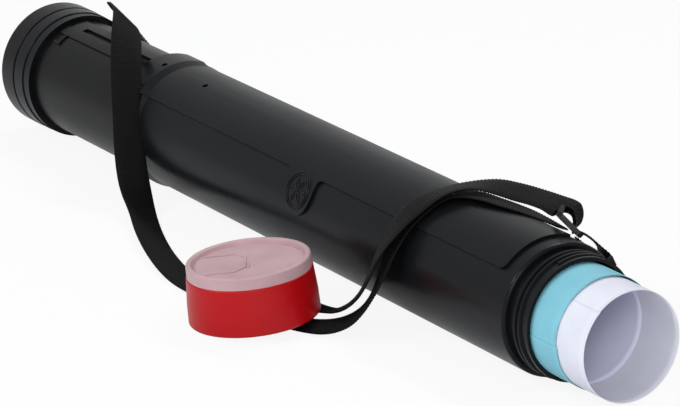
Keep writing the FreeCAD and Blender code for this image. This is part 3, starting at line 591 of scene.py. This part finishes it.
# %% Two rings and a rosette
bm = bmesh.new()
for radius in RING_RADII:
    ring = arc_course((0, 0), radius, start=0, sweep=360, count=96)
    relief_line(bm, ring[:-1] + ring[:1], RING_WIDTH, RING_HEIGHT)
for turn in range(0, 360, 60):
    heading = math.radians(turn)
    centre = (PETAL_RADIUS * math.cos(heading), PETAL_RADIUS * math.sin(heading))
    petal = arc_course(centre, PETAL_RADIUS, start=turn + 120, sweep=120, count=32)
    relief_line(bm, petal, PETAL_WIDTH, PETAL_HEIGHT)
bmesh.ops.holes_fill(bm, edges=bm.edges, sides=0)
bmesh.ops.recalc_face_normals(bm, faces=bm.faces)
medallion = finished_piece("medallion_relief", bm, tube_black)

# %% [markdown]
# ## The rolled sheets
# A roll of paper is a spiral: each turn lies just inside the last. A grid is laid out with its columns round
# the roll and its rows along it, then bent to a spiral whose radius shrinks by a fraction of a millimetre a
# turn. Solidify gives it the thickness of one stout sheet, and the outer edge then shows as a real step. Rows
# stand closer together towards the open end, where the roll is seen, and a slow noise keeps the roll from
# being perfectly round.

# %% Spiral sheets
SHEET = 0.18
WAVE_HEIGHT = 0.12
WAVES_ALONG = 0.02
WAVES_ROUND = 1.2
COLUMNS_A_TURN = 96
SHEET_ROWS = 48


def rolled_sheet(name, finish, front, back, outer, turns, pitch, start, drop, skew):
    """A sheet rolled into a spiral, from its front end back along the tube, in millimetres and degrees."""
    bm = bmesh.new()
    bmesh.ops.create_grid(bm, x_segments=round(COLUMNS_A_TURN * turns), y_segments=SHEET_ROWS, size=1)
    for vertex in bm.verts:
        turn = (vertex.co.x + 1) / 2 * turns
        along = (vertex.co.y + 1) / 2
        angle = math.radians(start) + turn * math.tau
        x = back + (front - back) * along ** 0.5 - skew * turn
        spot = Vector((x * WAVES_ALONG, math.cos(angle) * WAVES_ROUND, math.sin(angle) * WAVES_ROUND))
        radius = outer - pitch * turn - SHEET / 2 + WAVE_HEIGHT * (noise.noise(spot) - 1)
        vertex.co = place(x, -radius * math.sin(angle), radius * math.cos(angle) - drop)
    bmesh.ops.recalc_face_normals(bm, faces=bm.faces)
    piece = finished_piece(name, bm, finish)
    sheet = piece.modifiers.new("sheet", "SOLIDIFY")
    sheet.thickness = SHEET * MM
    sheet.offset = 0
    return piece


# %% Three rolled sheets
teal_sheets = rolled_sheet("teal_sheets", paper_teal, front=54, back=-540, outer=42.3,
                           turns=1.55, pitch=0.25, start=93, drop=0.8, skew=1.6)
white_sheets = rolled_sheet("white_sheets", paper_white, front=84.5, back=-509.5, outer=41.2,
                            turns=1.1, pitch=0.25, start=42, drop=1.3, skew=0.8)
# This sheet wears the white paper with painted shade of the inside of the roll.
inner_sheets = rolled_sheet("white_inner_sheets", paper_inner_shaded, front=41, back=-512, outer=40.7,
                            turns=1.05, pitch=0.2, start=60, drop=1.3, skew=1.0)

# %% [markdown]
# ## Every piece rides and stands for something
# The strap's runs, the loop, the paper and the relief all belong to the outer tube's body. Where there is a
# plain stand-in for a piece, the stand-in is hidden and the piece takes its place. The lengths of the
# strap's two runs are printed.

# %% Bodies and what each piece replaces
for piece in (strap_main, strap_tail, anchor_loop, teal_sheets, white_sheets, inner_sheets, medallion):
    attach(piece, "outer")
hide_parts("strap_main")
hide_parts("strap_tail")
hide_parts("anchor_loop")
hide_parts("teal_roll")
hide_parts("white_roll")
print("cords", f"{main_length:.3f} m and {tail_length:.3f} m")

# %% [markdown]
# ## Studio
# The tube lies on white. The camera sees the floor and the world as plain white, and a part of that white
# also shows in reflections and through the disc, so that the black plastic shows its round form without
# turning grey. Light Path's outputs tell these rays apart, so the white lights nothing in any other way.

# %% Which rays see the white


def seen_rays(tree, path, reflected):
    """One for a ray from the camera, a share of one for a reflected or transmitted ray, else nought."""
    total = path.outputs["Is Camera Ray"]
    for ray in ("Is Glossy Ray", "Is Transmission Ray"):
        part = tree.nodes.new("ShaderNodeMath")
        part.operation = "MULTIPLY"
        part.inputs[1].default_value = reflected
        tree.links.new(path.outputs[ray], part.inputs[0])
        either = tree.nodes.new("ShaderNodeMath")
        either.operation = "MAXIMUM"
        tree.links.new(total, either.inputs[0])
        tree.links.new(part.outputs["Value"], either.inputs[1])
        total = either.outputs["Value"]
    return total


# %% [markdown]
# The floor mixes a pale matt surface with a glow of strength one. The glow has most of the weight, so that
# the floor comes out white, and the rest of the weight keeps the tube's shadow.

# %% Floor
FLOOR_HALF = 6
FLOOR_GLOW = 0.9
FLOOR_REFLECTED = 0.4
pale, tree, shader = new_finish("pale_floor", color=(0.86, 0.86, 0.86), roughness=0.9)
glow = tree.nodes.new("ShaderNodeEmission")
glow.inputs["Color"].default_value = (1, 1, 1, 1)
glow.inputs["Strength"].default_value = 1.0
path = tree.nodes.new("ShaderNodeLightPath")
share = tree.nodes.new("ShaderNodeMath")
share.operation = "MULTIPLY"
share.inputs[1].default_value = FLOOR_GLOW
mix = tree.nodes.new("ShaderNodeMixShader")
tree.links.new(seen_rays(tree, path, FLOOR_REFLECTED), share.inputs[0])
tree.links.new(share.outputs["Value"], mix.inputs["Fac"])
tree.links.new(shader.outputs["BSDF"], mix.inputs[1])
tree.links.new(glow.outputs["Emission"], mix.inputs[2])
tree.links.new(mix.outputs["Shader"], tree.nodes["Material Output"].inputs["Surface"])
bm = bmesh.new()
bmesh.ops.create_grid(bm, x_segments=1, y_segments=1, size=FLOOR_HALF)
floor = finished_piece("floor", bm, pale)

# %% [markdown]
# The world is a faint, slightly blue sky that fills the shadows, and plain white for the rays named above.

# %% World
SKY_COLOR = (0.9, 0.95, 1.0, 1)
SKY_STRENGTH = 0.3
WORLD_REFLECTED = 0.55
world = bpy.data.worlds.new("studio_world")
scene.world = world
world.use_nodes = True
tree = world.node_tree
sky = tree.nodes["Background"]
sky.inputs["Color"].default_value = SKY_COLOR
sky.inputs["Strength"].default_value = SKY_STRENGTH
white = tree.nodes.new("ShaderNodeBackground")
white.inputs["Color"].default_value = (1, 1, 1, 1)
path = tree.nodes.new("ShaderNodeLightPath")
mix = tree.nodes.new("ShaderNodeMixShader")
tree.links.new(seen_rays(tree, path, WORLD_REFLECTED), mix.inputs["Fac"])
tree.links.new(sky.outputs["Background"], mix.inputs[1])
tree.links.new(white.outputs["Background"], mix.inputs[2])
tree.links.new(mix.outputs["Shader"], tree.nodes["World Output"].inputs["Surface"])
print("world", world.name, "with", len(tree.nodes), "nodes")

# %% [markdown]
# Three large soft lamps light the tube: a wide one over its front, a long narrow one behind it for the long
# highlights along its upper edge, and a smaller one out beyond the mouth for the rolled sheets.

# %% Lamps


def soft_lamp(name, where, target, width, height, power, color=(1, 1, 1)):
    """A rectangular lamp of a size in metres and a power in watts, turned to its target."""
    light = bpy.data.lights.new(name, "AREA")
    light.shape = "RECTANGLE"
    light.size = width
    light.size_y = height
    light.energy = power
    light.color = color
    lamp = bpy.data.objects.new(name, light)
    scene.collection.objects.link(lamp)
    lamp.location = where
    lamp.rotation_euler = (target - where).to_track_quat("-Z", "Y").to_euler()
    print(name, power, "W")


tube_middle = place(-300, 0, 0)
mouth = place(40, 0, 0)
soft_lamp("front_lamp", Vector((-0.1, -1.5, 1.2)), tube_middle, width=1.5, height=0.35, power=18,
          color=(0.92, 0.96, 1.0))
soft_lamp("back_lamp", Vector((-0.1, 0.9, 1.6)), tube_middle, width=1.8, height=0.2, power=14)
soft_lamp("mouth_lamp", Vector((1.7, -0.8, 0.8)), mouth, width=0.6, height=0.6, power=13)

# %% [markdown]
# ## Finish
# The Standard view shows colours about as they are written.

# %% Finish
scene.view_settings.view_transform = "Standard"
bpy.context.view_layer.update()
